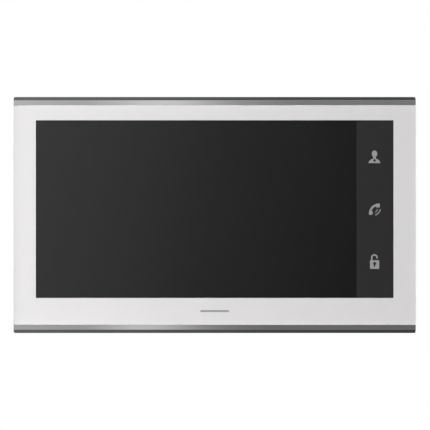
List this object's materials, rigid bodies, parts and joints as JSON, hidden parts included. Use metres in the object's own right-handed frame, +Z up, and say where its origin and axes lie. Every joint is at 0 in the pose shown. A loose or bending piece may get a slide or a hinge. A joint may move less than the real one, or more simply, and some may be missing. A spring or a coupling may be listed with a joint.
{
  "type": "video intercom monitor",
  "caption": "Slim wall-hung video door phone monitor: wide glass front with screen and touch keys, metal edge trims, side thumbwheels and a hook-on wall bracket.",
  "frame": {"origin": "on the wall, at the centre of the wall bracket's four screw holes", "axes": "+X to the right as the viewer faces the screen, +Z up, +Y into the wall; the screen faces -Y"},
  "size_m": [0.2012, 0.0195, 0.1182],
  "materials": {
    "front_glass": "polished flat glass",
    "white_print": "white ink behind the glass",
    "black_print": "black ink behind the glass",
    "symbol_print": "light grey ink behind the glass",
    "mark_print": "grey ink behind the glass",
    "foam_tape": "black foam tape",
    "white_plastic": "fine satin texture",
    "trim_metal": "polished front band, cut outer band",
    "screen_film": "dark semi-gloss film",
    "screen_glass": "dark laminated glass",
    "light_guide": "clear sheet with white film",
    "steel": "bright rolled sheet",
    "bracket_steel": "zinc-plated pressed sheet",
    "screw_steel": "zinc-plated",
    "circuit_board": "green solder mask",
    "amber_film": "amber flexible circuit",
    "white_film": "white flat cable",
    "milky_plastic": "translucent diffuser",
    "white_connector": "natural nylon",
    "chip_epoxy": "moulded epoxy",
    "can_aluminium": "bright can",
    "ferrite": "dark ferrite",
    "pin_metal": "plated pins",
    "switch_plastic": "black nylon",
    "control_plastic": "grey satin",
    "speaker_steel": "black pressed sheet",
    "cone_paper": "black pressed paper",
    "lead_sleeve": "insulated wire",
    "rubber": "soft black rubber",
    "label_film": "plain silver label"
  },
  "bodies": {
    "bracket": {"wall_bracket": "bracket_steel"},
    "monitor": {"front_glass": "front_glass", "white_mask_film": "white_print", "key_strip_film": "black_print", "view_key_symbol": "symbol_print", "talk_key_symbol": "symbol_print", "unlock_key_symbol": "symbol_print", "front_mark": "mark_print", "glass_tape": "foam_tape", "lcd_gasket": "foam_tape", "front_frame": "white_plastic", "rear_housing": "white_plastic", "top_trim": "trim_metal", "bottom_trim": "trim_metal", "lcd_polarizer": "screen_film", "lcd_cell": "screen_glass", "lcd_light_guide": "light_guide", "lcd_bezel": "steel", "lcd_rear_pan": "steel", "lcd_clamps": "steel", "shield_can": "steel", "lcd_clamp_screws": "screw_steel", "board_screws": "screw_steel", "housing_screws": "screw_steel", "lcd_driver_board": "circuit_board", "touch_board": "circuit_board", "main_board": "circuit_board", "side_board": "circuit_board", "lcd_flex": "amber_film", "touch_ribbon": "white_film", "side_ribbon": "white_film", "key_diffuser": "milky_plastic", "key_leds": "white_connector", "touch_chip": "chip_epoxy", "board_chips": "chip_epoxy", "capacitors": "can_aluminium", "inductors": "ferrite", "flat_sockets": "white_connector", "wire_headers": "white_connector", "speaker_plug": "white_connector", "microphone_plug": "white_connector", "header_pins": "pin_metal", "wheel_pots": "switch_plastic", "melody_switch": "switch_plastic", "power_switch": "switch_plastic", "speaker_gasket": "foam_tape", "speaker_basket": "speaker_steel", "speaker_magnet": "ferrite", "speaker_leads": "lead_sleeve", "microphone_leads": "lead_sleeve", "microphone_boot": "rubber", "microphone_capsule": "can_aluminium", "rating_label": "label_film", "wall_bumpers": "rubber"},
    "volume_wheel": {"volume_wheel": "control_plastic"},
    "brightness_wheel": {"brightness_wheel": "control_plastic"},
    "melody_button": {"melody_button": "control_plastic"},
    "power_slider": {"power_slider": "control_plastic"},
    "speaker_cone": {"speaker_diaphragm": "cone_paper"}
  },
  "joints": [
    {"name": "monitor_lift", "type": "slide", "parent": "bracket", "child": "monitor", "axis": [0, 0, 1], "range_m": [0, 0.005]},
    {"name": "volume_wheel_turn", "type": "hinge", "parent": "monitor", "child": "volume_wheel", "pos_m": [0.09295, -0.006, 0.024], "axis": [0, 1, 0], "range_deg": [-135, 135]},
    {"name": "brightness_wheel_turn", "type": "hinge", "parent": "monitor", "child": "brightness_wheel", "pos_m": [0.09295, -0.006, 0.002], "axis": [0, 1, 0], "range_deg": [-135, 135]},
    {"name": "melody_button_press", "type": "slide", "parent": "monitor", "child": "melody_button", "axis": [-1, 0, 0], "range_m": [0, 0.0005], "stiffness_N_per_m": 1500, "springref_m": -0.0005},
    {"name": "power_slider_slide", "type": "slide", "parent": "monitor", "child": "power_slider", "axis": [0, 0, 1], "range_m": [0, 0.002]},
    {"name": "speaker_cone_travel", "type": "slide", "parent": "monitor", "child": "speaker_cone", "axis": [0, 1, 0], "range_m": [-0.0003, 0.0003], "stiffness_N_per_m": 1500}
  ]
}
